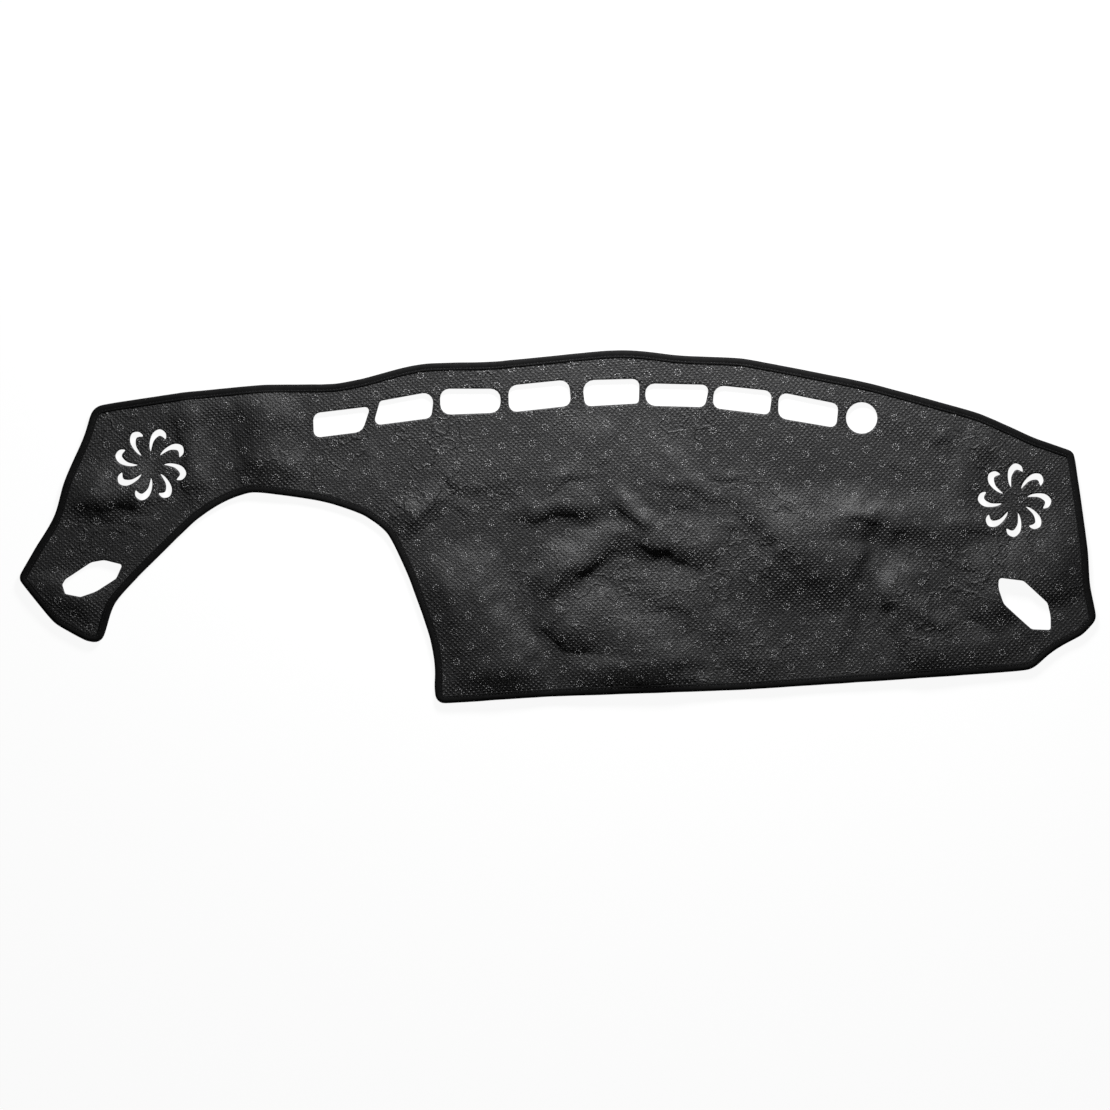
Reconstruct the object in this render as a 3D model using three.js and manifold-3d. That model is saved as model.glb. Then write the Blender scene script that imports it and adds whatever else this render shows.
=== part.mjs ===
// A fitted cover mat for a car dashboard, lying flat on the floor with its anti-slip side up.
// It is one cut sheet of felt, bound all round by one folded tape that is sewn over its edge.
// Millimetres. X runs along the dashboard, Y points to the windscreen edge, Z is up.
// The origin is on the floor, below the middle of the mat's outline.

import * as THREE from "three";
import { mergeVertices } from "three/addons/utils/BufferGeometryUtils.js";
import Module from "manifold-3d";

const wasm = await Module();
wasm.setup();

// The sheet and its binding.
const SHEET_THICKNESS = 3.2;
const TAPE_THICKNESS = 0.9;
const TAPE_REACH = 10; // how far the binding covers the sheet, in from the mat's edge
const TAPE_CLEARANCE = 0.4; // left between the tape and the sheet that it grips
const SHEET_EDGE = 2.4; // the sheet's own edge lies this far inside the fold of the tape

// How the sheet lies: flat on the floor, lifted by the tape below its edge, and buckled by its creases.
const LIFT_BAND = 34; // the edge strip that lies at the tape's height
const LIFT_FALL = 34; // the strip inside it, over which the sheet comes down to the floor
const CALM_BAND = 60; // the binding holds the creases down within this distance of the edge
const CALM_SHARE = 0.15; // what is left of a crease's height at the edge itself
const CREASE_FADE = 0.3; // the share of a crease's length over which each end dies out

// How finely the curved forms are divided.
const LATTICE_CELL = 23;
const EDGE_STEP = 23;
const EDGE_ARC_STEP = THREE.MathUtils.degToRad(18);
const OPENING_ARC_STEP = THREE.MathUtils.degToRad(24);
const CUTTER_DEPTH = 120;

// Corners of the mat's outline as [x, y, radius], clockwise from the left rear corner.
const OUTLINE = [
  [-604, 156, 20],
  [-489, 174, 78],
  [-385, 184, 195],
  [-290, 185, 143], // the rear edge steps up towards the windscreen
  [-254, 192, 117],
  [-195, 208, 78],
  [-171, 212, 91],
  [-85, 214, 391],
  [68, 229, 156], // crown of the rear edge
  [102, 229, 156],
  [160, 222, 260],
  [240, 219, 195],
  [404, 187, 391],
  [550, 147, 208],
  [621, 115, 130],
  [672, 97, 7], // right rear corner
  [690, -28, 195],
  [693, -75, 78],
  [702, -121, 16], // right tip
  [684, -141, 39],
  [648, -160, 78],
  [617, -187, 31],
  [242, -213, 1042], // front edge over the glove box
  [-16, -222, 521],
  [-157, -231, 12], // front corner beside the steering column
  [-160, -212, 52],
  [-159, -181, 91],
  [-166, -144, 117],
  [-194, -64, 260],
  [-221, -7, 59], // the notch round the instrument hood
  [-252, 15, 91],
  [-297, 31, 260],
  [-346, 39, 260],
  [-400, 45, 52],
  [-434, 32, 78],
  [-468, 10, 78],
  [-545, -65, 195],
  [-577, -101, 46],
  [-593, -152, 13], // end of the left tail
  [-612, -150, 33],
  [-654, -127, 52],
  [-702, -68, 8], // left tip
  [-678, -26, 195],
  [-655, 11, 65],
  [-642, 58, 78],
  [-616, 117, 91],
];

// Windscreen demister slots, each by its four corners as [x, y, radius].
const DEMISTER_SLOTS = [
  [[-318, 147, 10], [-243, 156, 5], [-254, 123, 14], [-317, 115, 8]],
  [[-231, 163, 5], [-160, 176, 12], [-164, 141, 9], [-240, 131, 7]],
  [[-153, 179, 12], [-74, 179, 13], [-74, 148, 13], [-152, 145, 13]],
  [[-64, 183, 12], [15, 191, 12], [18, 157, 10], [-63, 148, 10]],
  [[32, 190, 14], [107, 192, 9], [106, 160, 5], [36, 156, 8]],
  [[114, 186, 12], [198, 184, 8], [192, 155, 9], [115, 157, 13]],
  [[204, 184, 13], [280, 176, 10], [276, 145, 7], [202, 154, 10]],
  [[288, 175, 10], [366, 159, 9], [363, 128, 8], [287, 141, 12]],
];

// Openings over the outer air vents, one in each end of the mat.
const LEFT_VENT = [
  [-607, -47, 10],
  [-590, -44, 16],
  [-566, -50, 3],
  [-574, -68, 7],
  [-600, -85, 26],
  [-620, -92, 5],
  [-640, -88, 3],
  [-644, -76, 4],
  [-640, -69, 7],
];
const RIGHT_VENT = [
  [574, -67, 4],
  [606, -71, 8],
  [638, -100, 10],
  [642, -117, 26],
  [642, -135, 3],
  [617, -134, 7],
  [580, -101, 16],
  [573, -80, 16],
];

// The round hole over the light sensor.
const SENSOR_X = 396;
const SENSOR_Y = 141;
const SENSOR_RADIUS = 20.5;
const SENSOR_SIDES = 24;

// The pinwheels of curved slits over the two speakers.
const PINWHEELS = [
  { x: -529, y: 80, turn: 1 },
  { x: 595, y: 34, turn: 15 },
];
const PETAL_COUNT = 8;

// One slit as [outward from the pinwheel's centre, clockwise]: its root, its bowed back, its hook and its inside.
const PETAL = [
  [18.5, 0],
  [28, 1],
  [35.2, 4],
  [40.4, 7.6],
  [43.4, 12.4],
  [43.2, 17.7],
  [40.6, 20.6],
  [34.1, 20.6],
  [35.9, 14.6],
  [34.6, 11],
  [30.2, 6.4],
  [25.1, 3.4],
];

// Creases left by packing. Each runs from one point to another, with a crest of the given rise.
// It falls off gently on its left, seen along the run, and steeply on its right.
const CREASES = [
  { from: [-672, 38], to: [-520, 40], rise: 5.5, gentle: 40, steep: 30 },
  { from: [-478, 60], to: [-486, 185], rise: 4, gentle: 44, steep: 30 },
  { from: [-380, 40], to: [-392, 190], rise: 4.5, gentle: 48, steep: 40 },
  { from: [-690, -98], to: [-570, -96], rise: 6, gentle: 40, steep: 42 },
  { from: [-243, 20], to: [-246, 130], rise: 2.5, gentle: 34, steep: 18 },
  { from: [-212, 0], to: [-132, 42], rise: 4, gentle: 36, steep: 18 },
  { from: [-164, 84], to: [-128, 36], rise: 3, gentle: 30, steep: 18 },
  { from: [-50, 34], to: [60, 68], rise: 4.5, gentle: 36, steep: 18 },
  { from: [-60, 16], to: [76, 36], rise: 7, gentle: 26, steep: 36 },
  { from: [122, -8], to: [66, 50], rise: 6, gentle: 40, steep: 20 },
  { from: [-20, -86], to: [72, -12], rise: 8, gentle: 52, steep: 30 },
  { from: [74, -12], to: [200, -48], rise: 7.5, gentle: 34, steep: 22 },
  { from: [-50, -100], to: [72, -154], rise: 10, gentle: 58, steep: 38 },
  { from: [110, -92], to: [204, -98], rise: 5, gentle: 40, steep: 30 },
  { from: [-160, -158], to: [-40, -172], rise: 6, gentle: 70, steep: 50 },
  { from: [30, -160], to: [190, -168], rise: 6, gentle: 44, steep: 44 },
  { from: [66, 80], to: [72, 150], rise: 3, gentle: 22, steep: 26 },
  { from: [100, 52], to: [262, 18], rise: 3.5, gentle: 30, steep: 20 },
  { from: [210, -150], to: [246, -30], rise: 4.5, gentle: 40, steep: 34 },
  { from: [234, -26], to: [420, -46], rise: 9, gentle: 66, steep: 78 },
  { from: [352, 10], to: [470, -16], rise: 8, gentle: 56, steep: 34 },
  { from: [470, -10], to: [590, -14], rise: 5.5, gentle: 46, steep: 26 },
  { from: [352, -168], to: [412, -40], rise: 4, gentle: 46, steep: 22 },
  { from: [450, -108], to: [530, -154], rise: 4, gentle: 34, steep: 18 },
  { from: [494, -84], to: [600, -120], rise: 6, gentle: 44, steep: 54 },
  { from: [612, -66], to: [690, -70], rise: 6.5, gentle: 44, steep: 30 },
  { from: [474, 102], to: [520, 112], rise: 3, gentle: 28, steep: 18 },
  { from: [404, 92], to: [470, 46], rise: 3, gentle: 40, steep: 30 },
];

// The tape turns a convex corner no tighter than its own reach.
const TAPE_TURN = TAPE_REACH + 1;
const TAPE_LIFT = TAPE_THICKNESS + TAPE_CLEARANCE; // the tape's lower lip holds the sheet this far off the floor

// Points along a closed run of rounded corners, each with the outward normal there.
function stationsAlong(corners, { longestStep = Infinity, arcStep, tightestTurn = 0 }) {
  const at = (i) => corners[(i + corners.length) % corners.length];
  const arcs = corners.map((corner, i) => {
    const vertex = new THREE.Vector2(corner[0], corner[1]);
    const back = new THREE.Vector2(at(i - 1)[0], at(i - 1)[1]).sub(vertex).normalize();
    const on = new THREE.Vector2(at(i + 1)[0], at(i + 1)[1]).sub(vertex).normalize();
    const convex = back.cross(on) > 0;
    const radius = convex ? Math.max(corner[2], tightestTurn) : corner[2];
    const halfAngle = Math.acos(THREE.MathUtils.clamp(back.dot(on), -1, 1)) / 2;
    const inward = back.clone().add(on).normalize();
    const centre = vertex.clone().addScaledVector(inward, radius / Math.sin(halfAngle));
    const start = back.clone().rotateAround(new THREE.Vector2(), convex ? -Math.PI / 2 : Math.PI / 2);
    const sweep = (convex ? -1 : 1) * (Math.PI - 2 * halfAngle);
    return { centre, radius, start: start.angle(), sweep, convex };
  });
  const stations = [];
  arcs.forEach((arc, i) => {
    const turn = Math.abs(arc.sweep);
    const steps = Math.max(1, Math.ceil(turn / arcStep), Math.ceil((turn * arc.radius) / longestStep));
    for (let k = 0; k <= steps; k++) {
      const angle = arc.start + (arc.sweep * k) / steps;
      const spoke = new THREE.Vector2(Math.cos(angle), Math.sin(angle));
      const point = arc.centre.clone().addScaledVector(spoke, arc.radius);
      stations.push({ point, normal: arc.convex ? spoke : spoke.negate(), straight: false });
    }
    const next = arcs[(i + 1) % arcs.length];
    const last = stations.at(-1);
    const nextSpoke = new THREE.Vector2(Math.cos(next.start), Math.sin(next.start));
    const nextPoint = next.centre.clone().addScaledVector(nextSpoke, next.radius);
    const pieces = Math.ceil(last.point.distanceTo(nextPoint) / longestStep);
    for (let k = 1; k < pieces; k++) {
      const point = last.point.clone().lerp(nextPoint, k / pieces);
      stations.push({ point, normal: last.normal.clone(), straight: true });
    }
  });
  return stations;
}

const edgeStations = stationsAlong(OUTLINE, {
  longestStep: EDGE_STEP,
  arcStep: EDGE_ARC_STEP,
  tightestTurn: TAPE_TURN,
});

const insetPoint = ({ point, normal }, distance) => point.clone().addScaledVector(normal, -distance);

function roundedPath(corners) {
  const stations = stationsAlong(corners, { arcStep: OPENING_ARC_STEP });
  return new THREE.Path(stations.map((station) => station.point));
}

function petalPath({ x, y, turn }, index) {
  const angle = THREE.MathUtils.degToRad(90 + turn) - (index * 2 * Math.PI) / PETAL_COUNT;
  return new THREE.Path(
    PETAL.map(([outward, clockwise]) => {
      const spun = new THREE.Vector2(outward, -clockwise).rotateAround(new THREE.Vector2(), angle);
      return spun.add(new THREE.Vector2(x, y));
    }),
  );
}

function sensorPath() {
  const path = new THREE.Path();
  path.absarc(SENSOR_X, SENSOR_Y, SENSOR_RADIUS, 0, 2 * Math.PI, false);
  return new THREE.Path(path.getSpacedPoints(SENSOR_SIDES).slice(0, -1));
}

function sheetShape() {
  const turning = edgeStations.filter((station) => !station.straight);
  const shape = new THREE.Shape(turning.map((station) => insetPoint(station, SHEET_EDGE)).reverse());
  const petals = PINWHEELS.flatMap((wheel) =>
    Array.from({ length: PETAL_COUNT }, (_, index) => petalPath(wheel, index)),
  );
  shape.holes = [
    ...DEMISTER_SLOTS.map(roundedPath),
    roundedPath(LEFT_VENT),
    roundedPath(RIGHT_VENT),
    sensorPath(),
    ...petals,
  ];
  return shape;
}

// How far a point lies in from the mat's edge, and negative outside it.
function distanceInside(x, y) {
  let nearest = Infinity;
  let inside = false;
  for (let i = 0; i < edgeStations.length; i++) {
    const a = edgeStations[i].point;
    const b = edgeStations[(i + 1) % edgeStations.length].point;
    const along = new THREE.Vector2().subVectors(b, a);
    const share = THREE.MathUtils.clamp(((x - a.x) * along.x + (y - a.y) * along.y) / along.lengthSq(), 0, 1);
    nearest = Math.min(nearest, Math.hypot(x - a.x - along.x * share, y - a.y - along.y * share));
    const crosses = a.y > y !== b.y > y;
    if (crosses && x < a.x + ((y - a.y) / (b.y - a.y)) * along.x) inside = !inside;
  }
  return inside ? nearest : -nearest;
}

const bell = (t) => (Math.abs(t) < 1 ? (1 - t * t) ** 2 : 0);

function creaseHeight({ from, to, rise, gentle, steep }, x, y) {
  const run = new THREE.Vector2(to[0] - from[0], to[1] - from[1]);
  const length = run.length();
  const along = ((x - from[0]) * run.x + (y - from[1]) * run.y) / length;
  const rightOf = ((x - from[0]) * run.y - (y - from[1]) * run.x) / length;
  const fade = length * CREASE_FADE;
  const ends = THREE.MathUtils.smoothstep(along, -fade / 2, fade / 2);
  const otherEnd = THREE.MathUtils.smoothstep(length - along, -fade / 2, fade / 2);
  return rise * ends * otherEnd * bell(rightOf / (rightOf < 0 ? gentle : steep));
}

// Height of the sheet's underside over the floor.
function sheetHeight(x, y) {
  const inside = distanceInside(x, y);
  const lift = TAPE_LIFT * (1 - THREE.MathUtils.smoothstep(inside, LIFT_BAND, LIFT_BAND + LIFT_FALL));
  const calm = THREE.MathUtils.lerp(CALM_SHARE, 1, THREE.MathUtils.smoothstep(inside, 0, CALM_BAND));
  const creases = CREASES.reduce((sum, crease) => sum + creaseHeight(crease, x, y), 0);
  return lift + calm * creases;
}

// The sheet is divided on one square lattice, and the binding reads its height from the same lattice.
const reachX = Math.max(...edgeStations.map(({ point }) => Math.abs(point.x))) + LATTICE_CELL;
const reachY = Math.max(...edgeStations.map(({ point }) => Math.abs(point.y))) + LATTICE_CELL;
const columns = Math.ceil(reachX / LATTICE_CELL) * 2;
const rows = Math.ceil(reachY / LATTICE_CELL) * 2;
const latticeX = (i) => (i - columns / 2) * LATTICE_CELL;
const latticeY = (j) => (j - rows / 2) * LATTICE_CELL;
const latticeIndex = (i, j) => j * (columns + 1) + i;
const heights = [];
for (let j = 0; j <= rows; j++) {
  for (let i = 0; i <= columns; i++) heights.push(sheetHeight(latticeX(i), latticeY(j)));
}

// Height on the lattice's own flat triangles, each square cut from its lower left to its upper right.
function latticeHeight(x, y) {
  const u = x / LATTICE_CELL + columns / 2;
  const v = y / LATTICE_CELL + rows / 2;
  const i = Math.floor(u);
  const j = Math.floor(v);
  const [s, t] = [u - i, v - j];
  const low = heights[latticeIndex(i, j)];
  const high = heights[latticeIndex(i + 1, j + 1)];
  const corner = s > t ? heights[latticeIndex(i + 1, j)] : heights[latticeIndex(i, j + 1)];
  const [major, minor] = s > t ? [s, t] : [t, s];
  return low + (corner - low) * major + (high - corner) * minor;
}

function geometryFrom(positions, triangles) {
  const geometry = new THREE.BufferGeometry();
  geometry.setAttribute("position", new THREE.Float32BufferAttribute(positions, 3));
  geometry.setIndex(triangles);
  return geometry;
}

function toSolid(geometry) {
  const bare = geometry.clone().deleteAttribute("normal").deleteAttribute("uv");
  const merged = mergeVertices(bare);
  return new wasm.Manifold(
    new wasm.Mesh({
      numProp: 3,
      vertProperties: merged.attributes.position.array,
      triVerts: new Uint32Array(merged.index.array),
    }),
  );
}

function toGeometry(solid) {
  const { vertProperties, triVerts } = solid.getMesh();
  const geometry = geometryFrom(Array.from(vertProperties), Array.from(triVerts));
  geometry.computeVertexNormals();
  return geometry;
}

// A slab over the whole lattice, of the sheet's thickness.
function buckledSlab() {
  const layer = (columns + 1) * (rows + 1);
  const positions = [];
  for (const offset of [0, SHEET_THICKNESS]) {
    for (let j = 0; j <= rows; j++) {
      for (let i = 0; i <= columns; i++) {
        positions.push(latticeX(i), latticeY(j), heights[latticeIndex(i, j)] + offset);
      }
    }
  }
  const triangles = [];
  for (let j = 0; j < rows; j++) {
    for (let i = 0; i < columns; i++) {
      const a = latticeIndex(i, j);
      const b = latticeIndex(i + 1, j);
      const c = latticeIndex(i + 1, j + 1);
      const d = latticeIndex(i, j + 1);
      triangles.push(a, c, b, a, d, c);
      triangles.push(layer + a, layer + b, layer + c, layer + a, layer + c, layer + d);
    }
  }
  const wall = (p, q) => triangles.push(p, q, layer + q, p, layer + q, layer + p);
  for (let i = 0; i < columns; i++) {
    wall(latticeIndex(i, 0), latticeIndex(i + 1, 0));
    wall(latticeIndex(i + 1, rows), latticeIndex(i, rows));
  }
  for (let j = 0; j < rows; j++) {
    wall(latticeIndex(columns, j), latticeIndex(columns, j + 1));
    wall(latticeIndex(0, j + 1), latticeIndex(0, j));
  }
  return toSolid(geometryFrom(positions, triangles));
}

// The felt sheet: the slab, cut to the outline and its openings by one tall cutter.
function matSheet() {
  const cutter = new THREE.ExtrudeGeometry(sheetShape(), { depth: CUTTER_DEPTH, bevelEnabled: false });
  cutter.translate(0, 0, -CUTTER_DEPTH / 2);
  const geometry = toGeometry(buckledSlab().intersect(toSolid(cutter)));
  const material = new THREE.MeshStandardMaterial({ color: 0x3c3c3d, roughness: 0.85, metalness: 0 });
  const mesh = new THREE.Mesh(geometry, material);
  mesh.name = "mat_sheet";
  return mesh;
}

// The tape's section as [distance in from the edge, height over the sheet's underside]:
// the outside from the lower lip round the bull nose to the upper lip, then the channel that holds the sheet.
function tapeSection() {
  const bottom = -TAPE_LIFT;
  const top = SHEET_THICKNESS + TAPE_LIFT;
  const nose = (top - bottom) / 2;
  const middle = (top + bottom) / 2;
  const channel = SHEET_EDGE - TAPE_CLEARANCE;
  return [
    [TAPE_REACH, bottom],
    [nose * 0.6, bottom],
    [0, middle - nose * 0.45],
    [0, middle + nose * 0.45],
    [nose * 0.6, top],
    [TAPE_REACH, top],
    [TAPE_REACH, top - TAPE_THICKNESS],
    [channel, top - TAPE_THICKNESS],
    [channel, bottom + TAPE_THICKNESS],
    [TAPE_REACH, bottom + TAPE_THICKNESS],
  ];
}

// The binding: the section carried once round the outline, at the sheet's height.
function edgeBinding() {
  const section = tapeSection();
  const positions = [];
  for (const station of edgeStations) {
    for (const [inset, height] of section) {
      const { x, y } = insetPoint(station, inset);
      positions.push(x, y, latticeHeight(x, y) + height);
    }
  }
  const triangles = [];
  edgeStations.forEach((_, i) => {
    const here = i * section.length;
    const next = ((i + 1) % edgeStations.length) * section.length;
    section.forEach((__, k) => {
      const l = (k + 1) % section.length;
      triangles.push(here + k, next + l, next + k, here + k, here + l, next + l);
    });
  });
  const geometry = geometryFrom(positions, triangles);
  geometry.computeVertexNormals();
  const material = new THREE.MeshStandardMaterial({ color: 0x151516, roughness: 0.8, metalness: 0 });
  const mesh = new THREE.Mesh(geometry, material);
  mesh.name = "edge_binding";
  return mesh;
}

const mat = new THREE.Group();
mat.add(matSheet(), edgeBinding());

export default mat;
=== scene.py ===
# A car's dashboard mat, lying flat with its anti-slip side up and seen from straight above.
# Metres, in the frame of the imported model: X along the dashboard, Y towards the windscreen, Z up.

import math

import bpy
import numpy as np
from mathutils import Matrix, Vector
from mathutils.geometry import delaunay_2d_cdt


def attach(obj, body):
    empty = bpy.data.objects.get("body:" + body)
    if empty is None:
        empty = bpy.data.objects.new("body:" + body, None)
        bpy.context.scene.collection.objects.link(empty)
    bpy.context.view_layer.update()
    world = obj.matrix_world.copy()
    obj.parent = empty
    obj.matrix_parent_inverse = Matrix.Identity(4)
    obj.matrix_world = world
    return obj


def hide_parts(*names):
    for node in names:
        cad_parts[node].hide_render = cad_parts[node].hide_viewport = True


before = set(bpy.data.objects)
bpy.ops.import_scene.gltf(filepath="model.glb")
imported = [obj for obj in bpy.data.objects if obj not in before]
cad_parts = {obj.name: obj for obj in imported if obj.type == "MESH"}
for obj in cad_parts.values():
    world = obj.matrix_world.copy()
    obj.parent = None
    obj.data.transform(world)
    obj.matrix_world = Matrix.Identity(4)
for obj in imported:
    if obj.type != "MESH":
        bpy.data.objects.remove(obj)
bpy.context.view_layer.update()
MM = 0.001

# The sheet and its tape, as they are seen.
SHEET_THICKNESS = 3.2 * MM
CUT_BEVEL = 0.5 * MM
TAPE_LIP = 0.95 * MM
TAPE_OVER = 0.15 * MM

# The sheet's mesh: its upper side, the same close to the sharp creases' feet, its underside, and the steps
# along its cuts, its slits and its rim.
MESH_STEP = 2.8 * MM
FOOT_STEP = 1.3 * MM
FOOT_BAND = 4.5 * MM
UNDER_STEP = 7 * MM
CUT_STEP = 3 * MM
SLIT_STEP = 1.5 * MM
RIM_STEP = 4 * MM

# The height field: its grid's step and the corners that it reaches.
GRID = 1.1 * MM
FIELD_LOW = (-0.715, -0.245)
FIELD_HIGH = (0.715, 0.245)

# The print and the emboss share one direction on the cloth. The dots lie in rings, and those on a lattice.
CLOTH_TURN = math.radians(4.2)
EMBOSS_PITCH = 4.62 * MM
EMBOSS_DEPTH = 1.1 * MM
EMBOSS_SHIFT = 1.2 * MM
CRUMPLE_DEPTH = 1.2 * MM
FOLD_DEPTH = 0.8 * MM
FILM_ROUGHNESS = 0.45
DOT_PITCH = 39.4 * MM
DOT_ORIGIN = (4.9 * MM, -146.7 * MM)
DOT_RING = 3.9 * MM
DOTS_IN_RING = 8
DOT_RADIUS = 0.72 * MM
DOT_HEIGHT = 0.35 * MM
DOT_SHIFT = 0.35 * MM
DOT_ROOM_AT_EDGE = 10.6 * MM
DOT_ROOM_AT_OPENING = 1.2 * MM
DOT_REACH = 48
DOT_SIDES = 7
DOT_SEED = 5

# One slit of a pinwheel, in mm out from its centre and clockwise: root, bowed back, hook and inside.
SLIT = [
    (17.4, 0),
    (22.8, -1.4),
    (32.6, -0.4),
    (40.4, 2.8),
    (44.6, 7.6),
    (46, 12.6),
    (44, 17),
    (39.7, 20.3),
    (33.2, 19.7),
    (36.6, 15.2),
    (37.6, 12.2),
    (35.4, 8.2),
    (30.4, 4),
    (23, 1.6),
]
# Openings smaller than this are slits.
SLIT_AREA = 400 * MM * MM

# The stitches, and the uneven swell of the tape.
STITCH_PITCH = 4.2 * MM
STITCH_LENGTH = 3.4 * MM
STITCH_INSET = 7.6 * MM
THREAD_RADIUS = 0.26 * MM
THREAD_SIDES = 6
RIPPLE_SEED = 11
RIPPLE_WIDTH = 2.2

# How the sheet lies: held up by the tape along its edge, and calmed there. Creases fade at their ends.
TAPE_LIFT = 1.3 * MM
LIFT_BAND = 34 * MM
LIFT_FALL = 34 * MM
CALM_BAND = 45 * MM
CALM_SHARE = 0.15
CREASE_FADE = 0.3
WRINKLE_FADE = 0.35

# How the creases wander: the wave's length, its reach and its seed, first broad and then fine.
WANDERS = ((60 * MM, 2.2 * MM, 21), (22 * MM, 0.9 * MM, 22))
WAVES = 9

# Broad packing creases, in mm: where each starts and ends, its rise, and its reach on the left and on the
# right, seen along the run.
CREASES = [
    ((-715, -90), (-565, -96), 6.5, 36, 44),
    ((-640, 34), (-535, 48), 7.5, 50, 36),
    ((-510, 170), (-335, 205), 7, 105, 52),
    ((-490, 225), (-468, 40), 2.6, 28, 26),
    ((-380, 225), (-378, 10), 9, 58, 50),
    ((-215, 0), (-148, 40), 4, 30, 25),
    ((-45, -235), (-125, -45), 10.5, 108, 56),
    ((-30, -180), (-128, -82), 2, 100, 32),
    ((-158, 62), (30, 62), 1.6, 54, 28),
    ((-50, 26), (62, 34), 2.6, 30, 30),
    ((-22, -80), (78, -8), 5.5, 40, 28),
    ((14, -28), (-4, -134), 4, 38, 45),
    ((78, -10), (204, -30), 5, 46, 28),
    ((40, 12), (56, 130), 2.6, 90, 34),
    ((90, 16), (166, 84), 3.6, 90, 70),
    ((120, 0), (76, 40), 2.5, 30, 22),
    ((164, -192), (18, -110), 8.5, 70, 60),
    ((205, -232), (20, -204), 10, 105, 46),
    ((112, -222), (148, -72), 5, 95, 72),
    ((218, -118), (292, -235), 3.4, 38, 38),
    ((240, 44), (365, -84), 3.4, 58, 30),
    ((270, -28), (400, -38), 10.5, 92, 84),
    ((352, -165), (410, -45), 1.6, 40, 24),
    ((352, 14), (540, -6), 4.8, 52, 30),
    ((428, -62), (488, -218), 7.5, 58, 28),
    ((382, -228), (568, -166), 4.2, 52, 32),
    ((410, -80), (528, -140), 1.8, 30, 26),
    ((530, -225), (610, -92), 2.2, 104, 50),
    ((548, -100), (714, -34), 7.5, 86, 46),
    ((562, 144), (516, 34), 2.4, 34, 28),
]

# Sharp packing creases, in mm: the points that each foot runs through, the rise to a round crest on the
# left of the run, how far that crest is from the foot, and the reach of its back.
WRINKLES = [
    ([(-498, 156), (-490, 60), (-484, 20)], 1.6, 12, 32),
    ([(-478, 36), (-424, -8)], 1, 10, 18),
    ([(-640, 20), (-560, 20), (-500, 28)], 2, 14, 28),
    ([(-604, 10), (-560, 2), (-524, -14)], 1, 8, 14),
    ([(-590, -6), (-556, -14)], 0.8, 8, 12),
    ([(-256, 118), (-246, 40)], 0.9, 10, 14),
    ([(-200, -2), (-146, 30)], 1.6, 10, 18),
    ([(-138, 24), (-112, 14)], 1, 8, 14),
    ([(-158, 76), (-132, 34)], 1, 8, 14),
    ([(-114, 48), (-100, 40)], 0.8, 8, 12),
    ([(-24, 36), (44, 62)], 1.8, 12, 24),
    ([(50, 80), (74, 84)], 0.9, 8, 12),
    ([(-74, 4), (-10, 8), (62, 14)], 2.2, 14, 32),
    ([(62, 34), (120, -14)], 2.2, 10, 24),
    ([(80, -18), (124, -32), (190, -58)], 2.4, 12, 28),
    ([(0, -90), (80, -28)], 2, 14, 32),
    ([(80, -70), (122, -74)], 0.7, 8, 12),
    ([(-28, -124), (6, -164), (62, -168)], 3.2, 15, 52),
    ([(120, -108), (186, -112)], 1.2, 10, 18),
    ([(94, 60), (160, 44), (256, 22)], 1, 10, 18),
    ([(186, 60), (250, 56)], 0.8, 8, 14),
    ([(146, 28), (174, 18)], 0.8, 8, 12),
    ([(212, 2), (238, -12)], 0.9, 8, 14),
    ([(238, 2), (270, 8)], 0.8, 8, 14),
    ([(236, -24), (188, -148)], 1.3, 15, 32),
    ([(372, -96), (356, -168)], 1.2, 12, 20),
    ([(352, 8), (424, -2), (466, -12)], 2, 12, 28),
    ([(490, -2), (540, -10), (602, -14)], 1.6, 12, 24),
    ([(456, -112), (512, -148)], 1.4, 10, 18),
    ([(472, -30), (576, -84)], 1, 12, 24),
    ([(472, -26), (560, -50)], 0.8, 10, 18),
    ([(478, 104), (514, 108)], 1.2, 10, 16),
    ([(420, 86), (452, 60)], 0.8, 10, 16),
    ([(512, -110), (580, -146)], 1.2, 14, 24),
]


def smoothstep(t):
    t = np.clip(t, 0, 1)
    return t * t * (3 - 2 * t)


# The outline and the openings of the sheet come from the imported model's own solids, and its height from
# the crease tables.


def node_triangles(name):
    """The node's corner positions, joined where they meet, its triangles and their normals."""
    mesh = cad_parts[name].data
    mesh.calc_loop_triangles()
    points = np.empty(len(mesh.vertices) * 3)
    mesh.vertices.foreach_get("co", points)
    triangles = np.empty(len(mesh.loop_triangles) * 3, dtype=np.int64)
    mesh.loop_triangles.foreach_get("vertices", triangles)
    points, index = np.unique(np.round(points.reshape(-1, 3), 6), axis=0, return_inverse=True)
    triangles = index.reshape(-1)[triangles].reshape(-1, 3)
    edges = points[triangles]
    normals = np.cross(edges[:, 1] - edges[:, 0], edges[:, 2] - edges[:, 0])
    normals /= np.maximum(np.linalg.norm(normals, axis=1, keepdims=True), 1e-15)
    return points, triangles, normals


def plan_rings(points, triangles):
    """Closed rings round these triangles seen from above, the largest first."""
    following = {}
    counts = {}
    for a, b, c in triangles.tolist():
        for edge in ((a, b), (b, c), (c, a)):
            counts[edge] = counts.get(edge, 0) + 1
    for a, b in counts:
        if (b, a) not in counts:
            following.setdefault(a, []).append(b)
    rings = []
    while following:
        start = next(iter(following))
        ring = [start]
        while True:
            steps = following[ring[-1]]
            step = steps.pop()
            if not steps:
                del following[ring[-1]]
            if step == start:
                break
            ring.append(step)
        rings.append(points[ring][:, :2])
    return sorted(rings, key=lambda ring: -abs(ring_area(ring)))


def ring_area(ring):
    x, y = ring[:, 0], ring[:, 1]
    return 0.5 * float(np.sum(x * np.roll(y, -1) - np.roll(x, -1) * y))


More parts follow.
